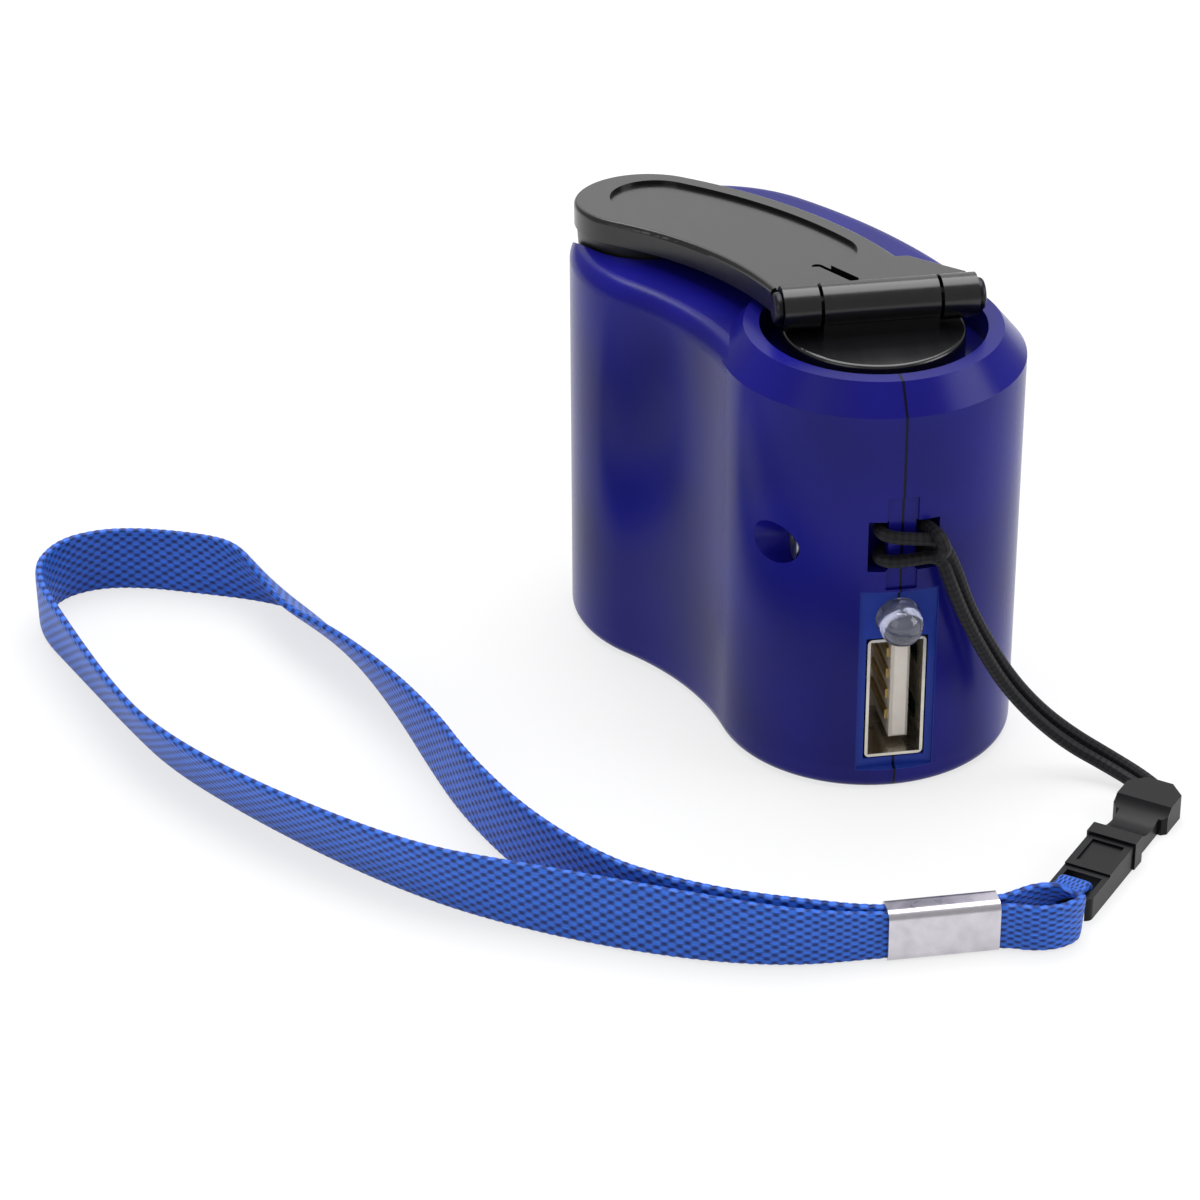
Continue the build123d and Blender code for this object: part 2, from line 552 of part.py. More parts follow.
def build_arm():
    parts = {}
    bottom = ARM_TOP - ARM_T
    plate = slab(arm_plan(), bottom, ARM_TOP)
    plate = max(plate.solids(), key=lambda s: s.volume)
    plate = fillet(plate.faces().sort_by(Axis.Z)[-1].edges(), ARM_EDGE)
    panel = bent_bar(ARM_MID_R + PANEL_SHIFT, PANEL_HALF, PANEL_START, ARM_TIP - 0.5)
    plate -= slab(panel, ARM_TOP - PANEL_DEPTH, ARM_TOP + 1)
    notch = SlotOverall(NOTCH_L, NOTCH_W, rotation=NOTCH_TURN)
    plate -= slab(Pos(*NOTCH_AT) * notch, bottom - 1, ARM_TOP + 1)
    inner = KNUCKLE_L / 2 + EAR_GAP
    for side in (-1, 1):
        x0, x1 = sorted((HINGE_X + side * inner, HINGE_X + side * (inner + EAR_L)))
        plate += rod_x(KNUCKLE_R, x0, x1, 0, HINGE_Z)
        plate += box(x0, x1, 0, 3.2, bottom + 0.3, ARM_TOP - 0.35)
    clear = KNUCKLE_R + 0.3
    plate -= box(HINGE_X - inner, HINGE_X + inner, -REACH, clear, 0, REACH)
    plate -= rod_x(PIN_R + RUN, -REACH, REACH, 0, HINGE_Z)
    end = inner + EAR_L
    for side in (-1, 1):
        x0, x1 = sorted((HINGE_X + side * end, HINGE_X + side * (end + 3)))
        plate -= box(x0, x1, -clear, clear, 0, REACH)
    plate -= rod(1.15, bottom - 1, bottom + 1.6, TIP.X, TIP.Y)
    half = inner + EAR_L
    half += PIN_PLAY
    pin = rod_x(PIN_R, HINGE_X - half, HINGE_X + half, 0, HINGE_Z)
    for side in (-1, 1):
        x0, x1 = sorted((HINGE_X + side * half, HINGE_X + side * (half + PIN_HEAD_T)))
        head = rod_x(PIN_HEAD_R, x0, x1, 0, HINGE_Z)
        pin += fillet(head.edges().filter_by(GeomType.CIRCLE).sort_by(Axis.X)[0 if side < 0 else -1], 0.45)
    top = bottom - KNOB_GAP
    end = top - KNOB_L
    knob = Pos(TIP.X, TIP.Y, (top + end) / 2) * Cone(KNOB_END_R, KNOB_R, KNOB_L)
    knob = fillet(knob.edges().filter_by(GeomType.CIRCLE).sort_by(Axis.Z)[0], 1.2)
    bearing = top - KNOB_BORE_L
    knob -= rod(KNOB_SHAFT_R + RUN, end - 1, top + 1, TIP.X, TIP.Y)
    knob -= rod(CAP_R, end - 1, bearing, TIP.X, TIP.Y)
    cap = rod(CAP_R, end, end + CAP_T, TIP.X, TIP.Y)
    axle = rod(KNOB_SHAFT_R, bearing - 0.1, bottom, TIP.X, TIP.Y)
    axle += rod(1.15, bottom, bottom + 1.5, TIP.X, TIP.Y)
    axle += rod(SCREW_HEAD_R, bearing - 1.9, bearing - 0.1, TIP.X, TIP.Y)
    parts["crank_arm"] = plate
    parts["hinge_pin"] = pin
    parts["knob"] = knob
    parts["knob_cap"] = cap
    parts["knob_axle"] = axle
    fold = Pos(0, 0, HINGE_Z) * Rot(-ARM_TILT, 0, 0) * Pos(0, 0, -HINGE_Z)
    return {name: fold * solid for name, solid in parts.items()}


# ---- lanyard ---------------------------------------------------------------------------
def turn_at(points, k):
    before = points[k] - points[k - 1]
    after = points[k + 1] - points[k]
    return before.get_angle(after), before.length, after.length


def arc_radii(points):
    """Radius of each corner: 0.45 of its shorter run over the tangent of half the turn."""
    radii = []
    for k in range(1, len(points) - 1):
        turn, before, after = turn_at(points, k)
        radii.append(0.45 * min(before, after) / tan(radians(turn / 2)))
    return radii


def smooth_path(points, name):
    vectors = [Vector(*p) for p in points]
    radii = arc_radii(vectors)
    path = FilletPolyline(*vectors, radius=radii)
    print(name, "length", round(path.length, 1), "radii", [round(r, 1) for r in radii])
    return path


def tube(points, radius, name):
    path = smooth_path(points, name)
    section = Plane(origin=path @ 0, z_dir=path % 0) * Circle(radius)
    solid = sweep(section, path=path)
    print(name, "volume share", round(solid.volume / (pi * radius * radius * path.length), 4))
    return solid


def ribbon(points, width, thickness, name):
    """A strap standing on edge: its plan line, thickened and raised by the strap's width."""
    path = smooth_path([(x, y, 0) for x, y in points], name)
    start = Plane(origin=path @ 0, z_dir=path % 0, x_dir=(0, 0, 1))
    section = start * Pos(width / 2, 0) * Rectangle(width, thickness)
    return sweep(section, path=path)


FRONT_Y = -LOBE_R + BAR_SINK - 0.85             # the cord's middle in front of the bar
BEHIND_Y = -LOBE_R + BAR_SINK + BAR_T + 0.78    # and behind it
HITCH_X = BAR_W / 2 + 0.9

# Both strands run from the hitch down to the table and on to the buckle.
UPPER_STRAND = (
    (5.1, -15.1, 24.4), (6.4, -14.9, 20.4), (8.7, -14.3, 15.7), (11.3, -13.7, 11.1), (14.5, -13.6, 7.0),
    (18.0, -13.7, 3.8), (21.3, -15.1, 1.9), (23.9, -17.8, 1.0), (25.2, -20.7, 0.75), (24.6, -23.4, 0.75),
)
LOWER_STRAND = (
    (4.3, -16.2, 23.6), (5.8, -16.0, 19.7), (8.0, -15.5, 15.2), (10.6, -14.9, 10.6), (13.8, -14.8, 6.6),
    (17.2, -15.0, 3.4), (20.5, -16.5, 1.7), (22.8, -19.0, 1.0), (24.1, -21.7, 0.75), (23.3, -24.3, 0.75),
)


def around_bar(z, rise):
    """A turn of the cord round the bar, from its right side over the front, the left and the back."""
    return (
        (3.5, FRONT_Y - 0.3, z - rise), (0.8, FRONT_Y - 0.2, z - 0.5 * rise), (-HITCH_X + 0.9, FRONT_Y, z),
        (-HITCH_X - 0.1, FRONT_Y + 1.3, z + 0.1 * rise), (-HITCH_X + 0.9, BEHIND_Y, z + 0.3 * rise),
        (HITCH_X - 0.9, BEHIND_Y, z + 0.4 * rise), (HITCH_X + 0.1, BEHIND_Y - 1.2, z + 0.5 * rise),
    )


def cord_route():
    """The whole cord: up one strand, twice round the bar as a cow hitch, and down the other."""
    over = ((3.3, FRONT_Y - 1.4, 28.6), (3.7, FRONT_Y - 1.7, 26.8))
    first, second = around_bar(28.3, 0.5), around_bar(25.6, -0.5)
    return UPPER_STRAND[::-1] + first + over + second[::-1] + LOWER_STRAND


FAR_FRONT = (
    (-15.5, -42.3), (-23.0, -40.4), (-31.6, -36.6), (-39.5, -31.9), (-46.5, -26.6), (-54.0, -19.0),
    (-62.0, -9.2), (-68.5, 0.2), (-72.0, 8.0), (-76.6, 19.5),
)
FAR_END = ((-80.9, 29.5), (-78.9, 35.4), (-74.5, 37.6), (-69.5, 37.0), (-63.0, 34.5), (-57.7, 31.9), (-52.6, 26.6))
FAR_BACK = (
    (-48.6, 16.5), (-45.6, 6.0), (-43.6, -4.5), (-41.6, -13.2), (-37.6, -23.6), (-31.4, -32.6), (-26.0, -36.6),
    (-20.5, -39.3), (-14.5, -40.8),
)


def strap_layer(side):
    """A layer of strap in the crimp, -1 in front and 1 behind: left of it, in its middle, right of it."""
    x, y = CRIMP_AT[0], CRIMP_AT[1] + side * (STRAP_T + LAYER_GAP) / 2
    return (x - CRIMP_L / 2 - 0.8, y), (x, y), (x + CRIMP_L / 2 + 0.5, y)


def buckle_point(along, across):
    """Plan point of the buckle, from its middle towards its cord end and across."""
    c, s = cos(radians(BUCKLE_TURN)), sin(radians(BUCKLE_TURN))
    return BUCKLE_AT[0] + along * c - across * s, BUCKLE_AT[1] + along * s + across * c


def build_straps():
    parts = {}
    front, back = strap_layer(-1), strap_layer(1)
    around = (front[1], front[0]) + FAR_FRONT + FAR_END + FAR_BACK + (back[0], back[1])
    strap = ribbon(around, STRAP_W, STRAP_T, "wrist strap")
    mouth = CRIMP_AT[0] - CRIMP_L / 2
    taper = make_face(Plane.XZ * Polyline(
        (mouth - 16, STRAP_W + 0.01), (mouth - 5, STRAP_W - 1.1), (mouth - 0.5, STRAP_NECK), (5, STRAP_NECK),
        (5, STRAP_W + 1), (mouth - 16, STRAP_W + 1), close=True))
    parts["wrist_strap"] = strap - Pos(0, CRIMP_AT[1] + 15, 0) * extrude(taper, amount=30)
    bar, half = BUCKLE_L / 2, BUCKLE_W / 2
    wide = half - 0.75
    ring = box(-bar - 0.1 - STRAP_T, -bar + BUCKLE_BAR + 0.1 + STRAP_T, -wide, wide, 0.15, TAIL_T + 0.1 + STRAP_T)
    ring -= box(-bar - 0.1, -bar + BUCKLE_BAR + 0.1, -half, half, 0.15 + STRAP_T, TAIL_T + 0.1)
    loop = Pos(BUCKLE_AT[0], BUCKLE_AT[1], 0) * Rot(0, 0, BUCKLE_TURN) * ring
    loop += ribbon(front[1:] + ((6.2, -43.6), (9.0, -43.7), (11.2, -42.2), buckle_point(-bar - 0.8, -wide + 0.6)),
                   STRAP_NECK, STRAP_T, "strap loop, front")
    loop += ribbon(back[1:] + ((5.6, -40.6), (7.6, -39.7), buckle_point(-bar - 0.8, wide - 0.6)),
                   STRAP_NECK, STRAP_T, "strap loop, back")
    parts["strap_loop"] = loop
    x, y = CRIMP_AT
    room = STRAP_T + LAYER_GAP / 2 + CRIMP_GAP
    crimp = box(x - CRIMP_L / 2, x + CRIMP_L / 2, y - room - CRIMP_T, y + room + CRIMP_T, 0, CRIMP_H)
    crimp = fillet(crimp.edges().filter_by(Axis.X), 0.9)
    crimp -= box(x - CRIMP_L / 2 - 1, x + CRIMP_L / 2 + 1, y - room, y + room, -1, CRIMP_H - CRIMP_T)
    parts["strap_crimp"] = crimp
    return parts


def build_buckle():
    """Quick-release buckle lying flat: a clip on the cord, snapped into a socket on the strap."""
    place = Pos(BUCKLE_AT[0], BUCKLE_AT[1], 0) * Rot(0, 0, BUCKLE_TURN)
    end, half = BUCKLE_L / 2, BUCKLE_W / 2
    skin = 0.6              # top and bottom walls of the socket
    clip = box(SPLIT, end - CAP_L + 0.5, -half + 0.3, half - 0.3, 0, BUCKLE_T)
    cap = box(end - CAP_L, end, -CAP_HALF, CAP_HALF, 0, BUCKLE_T)
    cap = chamfer(cap.edges().filter_by(Axis.Z).sort_by(Axis.X)[-2:], 1.5)
    cap = chamfer(cap.edges().filter_by(Axis.Z).sort_by(Axis.X)[:2], 0.45)
    clip += cap
    slot_end = end - BUCKLE_BAR
    clip -= box(slot_end - BUCKLE_SLOT, slot_end, -CAP_HALF + 0.8, CAP_HALF - 0.8, -1, BUCKLE_T - 0.8)
    clip -= box(slot_end - BUCKLE_SLOT, end + 1, -CAP_HALF + 0.8, CAP_HALF + 1, -1, BUCKLE_LIFT)
    scoop = Pos(SPLIT + 3.3, 0, BUCKLE_T + 3.0) * Rot(90, 0, 0) * Cylinder(4.2, BUCKLE_W + 1)
    clip -= scoop
    tongue = box(SPLIT - TONGUE_L, SPLIT + 0.4, -0.8, 0.8, skin + 0.1, BUCKLE_T - skin - 0.1)
    for side in (-1, 1):
        tongue += box(SPLIT - TONGUE_L + 0.4, SPLIT + 0.4, side * 1.35 - 0.25, side * 1.35 + 0.25,
                      skin + 0.1, BUCKLE_T - skin - 0.1)
    tongue -= scoop
    socket = box(-end, SPLIT, -half, half, 0, BUCKLE_T)
    socket = fillet(socket.edges().filter_by(Axis.Z).sort_by(Axis.X)[:2], 0.8)
    socket += box(SPLIT - 1.7, SPLIT, -half - 0.2, half + 0.2, 0, BUCKLE_T + 0.3)
    socket -= box(SPLIT - TONGUE_L - 0.4, SPLIT + 1, -1.75, 1.75, skin, BUCKLE_T - skin)
    rail = 0.55
    socket -= box(-end + BUCKLE_BAR, -end + BUCKLE_BAR + BUCKLE_SLOT, -half + rail, half - rail, -1, BUCKLE_T + 1)
    socket -= box(-end - 1, -end + BUCKLE_BAR + 0.1, -half + rail, half - rail, -1, BUCKLE_LIFT - 0.1)
    socket -= box(-end - 1, -end + TAIL_L, -half - 1, half + 1, TAIL_T, BUCKLE_T + 1)
    socket -= box(-5.4, SPLIT - 2.3, -half + 0.7, half - 0.7, BUCKLE_T - 0.25, BUCKLE_T + 1)
    return {"buckle_clip": place * (clip + tongue), "buckle_socket": place * socket}


def build_cord():
    return {"lanyard_cord": tube(cord_route(), CORD_R, "lanyard cord")}


def build_leads():
    """The two wires from the motor's tabs to the board."""
    x, y = MOTOR_AT.X, MOTOR_AT.Y - MOTOR_R - 1.4
    z = LOWER_PLATE - MOTOR_L - 0.2
    end = BOARD_Y1 - 0.8
    upper = [(x - 3.0, y, z), (x - 2.8, y - 2.0, z), (x - 0.4, y - 4.2, z + 0.2), (x + 3.6, y - 5.6, z + 0.3),
             (x + 8.2, end, z + 0.2), (BOARD_X, end, z + 0.1)]
    lower = [(x + 3.0, y, z), (x + 3.2, y - 1.8, z - 0.3), (x + 5.0, y - 3.6, z - 1.4), (x + 7.8, y - 5.2, z - 2.2),
             (x + 10.0, end, z - 2.4), (BOARD_X, end, z - 2.4)]
    return {"motor_leads": Compound(children=[tube(upper, 0.4, "upper lead"), tube(lower, 0.4, "lower lead")])}


def main():
    parts = {}
    for build in (build_housing, build_frame, build_gears, build_motor, build_socket, build_lamp, build_board,
                  build_leads, build_hub, build_arm, build_cord, build_buckle, build_straps):
        made = build()
        print(build.__name__, {name: len(shape.solids()) for name, shape in made.items()})
        parts.update(made)
    os.makedirs("parts", exist_ok=True)
    for name, shape in parts.items():
        export_step(shape, f"parts/{name}.step")


main()
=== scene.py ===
# looks of the hand crank charger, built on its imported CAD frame
import bpy
import numpy as np
from mathutils import Matrix


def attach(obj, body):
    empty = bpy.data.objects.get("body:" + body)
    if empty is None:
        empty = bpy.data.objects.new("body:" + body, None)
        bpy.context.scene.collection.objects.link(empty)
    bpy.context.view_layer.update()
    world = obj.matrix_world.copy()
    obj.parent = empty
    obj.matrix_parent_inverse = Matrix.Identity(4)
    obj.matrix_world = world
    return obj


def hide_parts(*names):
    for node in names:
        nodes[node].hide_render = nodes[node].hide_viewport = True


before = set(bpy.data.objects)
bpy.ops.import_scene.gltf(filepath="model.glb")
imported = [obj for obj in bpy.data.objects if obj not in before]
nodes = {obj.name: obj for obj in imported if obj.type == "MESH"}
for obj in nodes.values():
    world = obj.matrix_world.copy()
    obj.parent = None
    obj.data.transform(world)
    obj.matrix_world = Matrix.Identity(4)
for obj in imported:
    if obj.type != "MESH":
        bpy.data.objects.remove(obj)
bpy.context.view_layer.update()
scene = bpy.context.scene
mm = 0.001
print("frame loaded:", len(nodes), "nodes")


# ---------- small tools ----------

def linear(hexText):
    # sRGB hex to linear light: a straight part below 0.04045, a 2.4 power above it
    c = np.array([int(hexText[i:i + 2], 16) for i in (1, 3, 5)]) / 255
    return tuple(np.where(c <= 0.04045, c / 12.92, ((c + 0.055) / 1.055) ** 2.4)) + (1.0,)


def addNode(tree, kind, sockets=None, **settings):
    # one node: its settings by name, and each socket given a value or a link
    node = tree.nodes.new(kind)
    for name, value in settings.items():
        setattr(node, name, value)
    for name, value in (sockets or {}).items():
        if isinstance(value, bpy.types.NodeSocket):
            tree.links.new(value, node.inputs[name])
        else:
            node.inputs[name].default_value = value
    return node


def maths(tree, operation, *values):
    return addNode(tree, "ShaderNodeMath", dict(enumerate(values)), operation=operation)


def noise(tree, where, size, detail=2.0):
    # size in mm, on coordinates in metres
    return addNode(tree, "ShaderNodeTexNoise", {"Vector": where, "Scale": 1 / (size * mm), "Detail": detail})


def mixed(tree, share, first, second, blend="MIX"):
    return addNode(tree, "ShaderNodeMixRGB", {"Fac": share, "Color1": first, "Color2": second}, blend_type=blend)


def spread(tree, value, to, start=(0.0, 1.0)):
    # a value's range stretched onto another one
    return addNode(tree, "ShaderNodeMapRange", {
        "Value": value, "From Min": start[0], "From Max": start[1], "To Min": to[0], "To Max": to[1]})


def bumped(tree, height, strength, depth):
    # depth in mm
    return addNode(tree, "ShaderNodeBump", {"Height": height, "Strength": strength, "Distance": depth * mm})


def newMaterial(name):
    material = bpy.data.materials.new(name)
    material.use_nodes = True
    material.node_tree.nodes.clear()
    return material, material.node_tree


def finishMaterial(tree, shader):
    addNode(tree, "ShaderNodeOutputMaterial", {"Surface": shader.outputs[0]})


def shownAs(material, *names):
    # a CAD node keeps its shape and takes this finish in every slot
    for name in names:
        mesh = nodes[name].data
        if not mesh.materials:
            mesh.materials.append(material)
        for i in range(len(mesh.materials)):
            mesh.materials[i] = material


def splinePoints(points, steps):
    # NURBS curve of order 3 through its two ends, drawn without a bevel and read back as points
    curve = bpy.data.curves.new("route", "CURVE")
    curve.dimensions = "3D"
    curve.resolution_u = steps
    spline = curve.splines.new("NURBS")
    spline.points.add(len(points) - 1)
    for point, place in zip(spline.points, points):
        point.co = (*place, 1.0)
    spline.order_u = 3
    spline.use_endpoint_u = True
    thing = bpy.data.objects.new("route", curve)
    scene.collection.objects.link(thing)
    mesh = bpy.data.meshes.new_from_object(thing)
    found = np.zeros(len(mesh.vertices) * 3)
    mesh.vertices.foreach_get("co", found)
    bpy.data.objects.remove(thing)
    return found.reshape(-1, 3)


def runLengths(points):
    return np.concatenate([[0], np.cumsum(np.linalg.norm(np.diff(points, axis=0), axis=1))])


def evenly(points, spacing, guide=None):
    # the same line with points at equal distances along the guide line
    along = runLengths(points if guide is None else guide)
    wanted = np.linspace(0, along[-1], int(along[-1] / spacing) + 1)
    return np.column_stack([np.interp(wanted, along, points[:, k]) for k in range(3)])


def unit(vectors):
    return vectors / np.maximum(np.linalg.norm(vectors, axis=-1, keepdims=True), 1e-12)


def surfacePiece(name, grid, uv, material):
    # a tube of quads between neighbouring rows and columns of a grid of points; each end gets a fan on its middle
    rows, columns = grid.shape[:2]
    points = grid.reshape(-1, 3)
    r, c = np.meshgrid(np.arange(rows - 1), np.arange(columns), indexing="ij")
    after = (c + 1) % columns
    here, beyond = r * columns, (r + 1) * columns
    quads = np.stack([here + c, beyond + c, beyond + after, here + after], -1)
    faces = quads.reshape(-1, 4).tolist()
    acrossUv = np.append(uv[1], uv[1][-1] + uv[1][1])
    corners = np.stack([uv[0][r], uv[0][r + 1], uv[0][r + 1], uv[0][r]], -1)
    heights = np.stack([acrossUv[c], acrossUv[c], acrossUv[c + 1], acrossUv[c + 1]], -1)
    corners = np.stack([corners, heights], -1)
    loops = corners.reshape(-1, 2)
    first, last = len(points), len(points) + 1
    points = np.vstack([points, grid[0].mean(0), grid[-1].mean(0)])
    ring = np.arange(columns)
    nextOne = (ring + 1) % columns
    start = np.stack([np.full(columns, first), ring, nextOne], -1)
    end = np.stack([np.full(columns, last), (rows - 1) * columns + nextOne, (rows - 1) * columns + ring], -1)
    faces += start.tolist() + end.tolist()
    loops = np.vstack([loops, np.zeros((6 * columns, 2))])
    mesh = bpy.data.meshes.new(name)
    mesh.from_pydata(points, [], faces)
    mesh.uv_layers.new(name="lengthAndRound").data.foreach_set("uv", loops.ravel())
    mesh.polygons.foreach_set("use_smooth", np.ones(len(faces), bool))
    mesh.materials.append(material)
    mesh.update()
    piece = bpy.data.objects.new(name, mesh)
    scene.collection.objects.link(piece)
    return piece


# ---------- camera ----------

camera = {
    "place": (-0.08117, -0.33980, 0.21426),
    "turn": -9.152, "height": 30.02,                    # degrees: round the object, above the table
    "roll": -0.272,                                     # degrees: about its own line of sight
    "lens": 122.48,                                     # mm on a 36 mm sensor
}


def lookDirections(turn, height, roll):
    # back towards the camera, then right and up turned by the roll
    t, h, k = np.radians([turn, height, roll])
    back = np.array([np.sin(t) * np.cos(h), -np.cos(t) * np.cos(h), np.sin(h)])
    right = np.array([np.cos(t), np.sin(t), 0])
    up = np.cross(back, right)
    return right * np.cos(k) + up * np.sin(k), up * np.cos(k) - right * np.sin(k), back


cameraData = bpy.data.cameras.new("photoCamera")
cameraData.lens = camera["lens"]
cameraData.sensor_width = 36
cameraData.clip_start, cameraData.clip_end = 0.01, 20
cameraPiece = bpy.data.objects.new("photoCamera", cameraData)
scene.collection.objects.link(cameraPiece)
turned = np.column_stack(lookDirections(camera["turn"], camera["height"], camera["roll"]))
cameraPiece.matrix_world = Matrix.Translation(camera["place"]) @ Matrix(turned.tolist()).to_4x4()
scene.camera = cameraPiece
print("camera set")


# ---------- finishes of the soft parts ----------

weave = {
    # painted light and shade: the float colour is painted light, the gap colour is painted shade in the pinholes
    "litTop": "#2f68d2", "gap": "#0b2568", "sheen": "#9fc0f5",
    "float": 0.72, "row": 0.52,       # mm: length of a warp float, height of one row
    "threads": 0.11,                  # mm: filaments inside a float
    "stretch": 0.25,                  # filaments per mm along the tape
    "wander": (0.9, 0.12),            # waves per mm and depth of the yarns' wandering
    "lit": (-0.75, 0.35),             # heights of the weave between which it turns from gap to float
    "shade": (0.72, 1.2),             # darkest and lightest filament
    "filamentRelief": 0.25, "relief": 0.12,    # share of the relief from filaments; mm of relief in all
    "roughness": 0.45, "gloss": 0.25, "sheenWeight": 0.06, "sheenRoughness": 0.4,
}


def wovenPolyesterTape():
    # plain woven polyester webbing: smooth filament floats with a soft sheen, dark pinholes between them; the
    # floats' lighter colour is painted light and the pinholes' dark colour is painted shade
    material, tree = newMaterial("wovenPolyesterTape")
    uv = addNode(tree, "ShaderNodeUVMap", uv_map="lengthAndRound")
    wander = addNode(tree, "ShaderNodeTexNoise", {
        "Vector": uv.outputs[0], "Scale": weave["wander"][0], "Detail": 2.0})
    shifted = mixed(tree, weave["wander"][1], uv.outputs[0], wander.outputs["Color"], "ADD")
    # a plain weave: one sine along times one across gives rows of oval floats, each row shifted by one float
    parts = addNode(tree, "ShaderNodeSeparateXYZ", {"Vector": shifted.outputs[0]})
    waves = []
    for k, size in ((0, weave["float"]), (1, weave["row"])):
        angle = maths(tree, "MULTIPLY", parts.outputs[k], np.pi / size)
        waves.append(maths(tree, "SINE", angle.outputs[0]))
    crossing = maths(tree, "MULTIPLY", waves[0].outputs[0], waves[1].outputs[0])
    floats = spread(tree, crossing.outputs[0], (0.0, 1.0), weave["lit"])
    # painted light and shade: floats coloured lighter and pinholes between them darker, following the weave's
    # relief
    cloth = mixed(tree, floats.outputs[0], linear(weave["gap"]), linear(weave["litTop"]))
    stretched = addNode(tree, "ShaderNodeMapping", {
        "Vector": uv.outputs[0], "Scale": (weave["stretch"], 1 / weave["threads"], 1)})
    filaments = addNode(tree, "ShaderNodeTexNoise", {
        "Vector": stretched.outputs[0], "Scale": 1.0, "Detail": 2.0})
    shade = spread(tree, filaments.outputs["Fac"], weave["shade"], (0.3, 0.7))
    colour = mixed(tree, 1.0, cloth.outputs[0], shade.outputs[0], "MULTIPLY")
    thread = maths(tree, "MULTIPLY_ADD", filaments.outputs["Fac"], weave["filamentRelief"], floats.outputs[0])
    bump = bumped(tree, thread.outputs[0], 0.8, weave["relief"])
    shader = addNode(tree, "ShaderNodeBsdfPrincipled", {
        "Base Color": colour.outputs[0], "Roughness": weave["roughness"], "Normal": bump.outputs[0],
        "IOR": 1.55, "Specular IOR Level": weave["gloss"], "Sheen Weight": weave["sheenWeight"],
        "Sheen Roughness": weave["sheenRoughness"], "Sheen Tint": linear(weave["sheen"])})
    finishMaterial(tree, shader)
    return material


braid = {
    # the lighter colour is a painted highlight on the yarns lying on top
    "black": "#08080a", "litTop": "#1c1c20",
    "pitch": 1.3, "carriers": 4,      # mm along for one turn of a carrier, and how many run each way
    "relief": 0.08,                   # mm
    "roughness": 0.55, "gloss": 0.2, "sheenWeight": 0.03, "sheenRoughness": 0.4,
}


def braidedPolyesterCord():
    # thin braided cord: two sets of crossing yarns, dull black, with a painted highlight where they lie on top
    # and painted shade in the hollows between them
    material, tree = newMaterial("braidedPolyesterCord")
    uv = addNode(tree, "ShaderNodeUVMap", uv_map="lengthAndRound")
    parts = addNode(tree, "ShaderNodeSeparateXYZ", {"Vector": uv.outputs[0]})
    along = maths(tree, "MULTIPLY", parts.outputs[0], 2 * np.pi / braid["pitch"])
    around = maths(tree, "MULTIPLY", parts.outputs[1], 2 * np.pi * braid["carriers"])
    one = maths(tree, "ADD", along.outputs[0], around.outputs[0])
    other = maths(tree, "SUBTRACT", along.outputs[0], around.outputs[0])
    waveOne = maths(tree, "SINE", one.outputs[0])
    waveOther = maths(tree, "SINE", other.outputs[0])
    crossing = maths(tree, "MULTIPLY", waveOne.outputs[0], waveOther.outputs[0])
    height = spread(tree, crossing.outputs[0], (0.0, 1.0), (-1.0, 1.0))
    # painted light: the yarns lying on top coloured lighter, the hollows between them darker
    colour = mixed(tree, height.outputs[0], linear(braid["black"]), linear(braid["litTop"]))
    bump = bumped(tree, height.outputs[0], 0.8, braid["relief"])
    shader = addNode(tree, "ShaderNodeBsdfPrincipled", {
        "Base Color": colour.outputs[0], "Roughness": braid["roughness"], "Normal": bump.outputs[0], "IOR": 1.5,
        "Specular IOR Level": braid["gloss"], "Sheen Weight": braid["sheenWeight"],
        "Sheen Roughness": braid["sheenRoughness"]})
    finishMaterial(tree, shader)
    return material


# ---------- wrist strap ----------

strap = {
    "width": 7.4, "thick": 0.9,        # mm
    "clear": 0.2,                      # mm: its lower edge's middle line above the table
    "scallop": 0.08, "pick": 0.9,      # mm: how far the weft loops stand out of the edge, and their spacing
    "buckle": (17.74, -30.03), "heading": 51.2,
}
# mm: plan places of the tape's lower edge, how far its upper edge leans, its width: x, y, lean x, lean y, width
strapLoop = (
    (-1.9, -42.45, 0, 0, 4.85), (-7.9, -42.45, 0, 0, 5.0), (-15.5, -42.3, 0, -0.2, 6.3),
    (-23.0, -40.4, 0.1, 0.2, 7.1), (-31.6, -36.6, 0.1, 0.4, 7.4), (-39.5, -31.9, -0.1, -0.3, 7.4),
    (-46.5, -26.6, -1.0, -1.4, 7.4), (-54.0, -19.0, -1.7, -1.6, 7.4), (-62.0, -9.2, -2.3, -1.8, 7.4),
    (-68.5, 0.2, -2.4, -1.8, 7.4), (-72.0, 8.0, -2.3, -1.4, 7.4), (-76.6, 19.5, -1.4, -0.6, 7.4),
    (-80.6, 29.5, -0.1, 0.2, 7.4), (-78.7, 35.4, 0.5, -0.3, 7.4), (-74.5, 37.5, 0.3, -0.6, 7.4),
    (-69.5, 37.0, 0, -0.4, 7.4), (-63.0, 34.4, -0.4, 0, 7.4), (-57.7, 32.2, -2.0, 0.2, 7.4),
    (-53.4, 29.6, -4.6, -0.5, 7.4), (-50.8, 24.6, -5.2, -2.0, 7.4), (-48.0, 16.5, -3.7, -1.6, 7.4),
    (-45.5, 6.0, -1.8, -0.8, 7.4), (-43.6, -4.5, 0, 0, 7.4), (-41.6, -13.2, 0.2, 0, 7.4),
    (-37.6, -23.6, 0.2, 0.1, 7.4), (-31.4, -32.6, 0, 0, 7.3), (-26.0, -36.6, 0, 0, 7.1),
    (-20.5, -39.3, 0, 0, 6.8), (-14.5, -40.8, 0, 0, 6.2), (-7.9, -41.35, 0, 0, 5.0),
    (-1.9, -41.35, 0, 0, 4.85), (3.8, -41.35, 0, 0, 4.85), (5.6, -40.6, 0, 0, 4.85),
    (7.6, -39.7, 0, 0, 4.7),
)
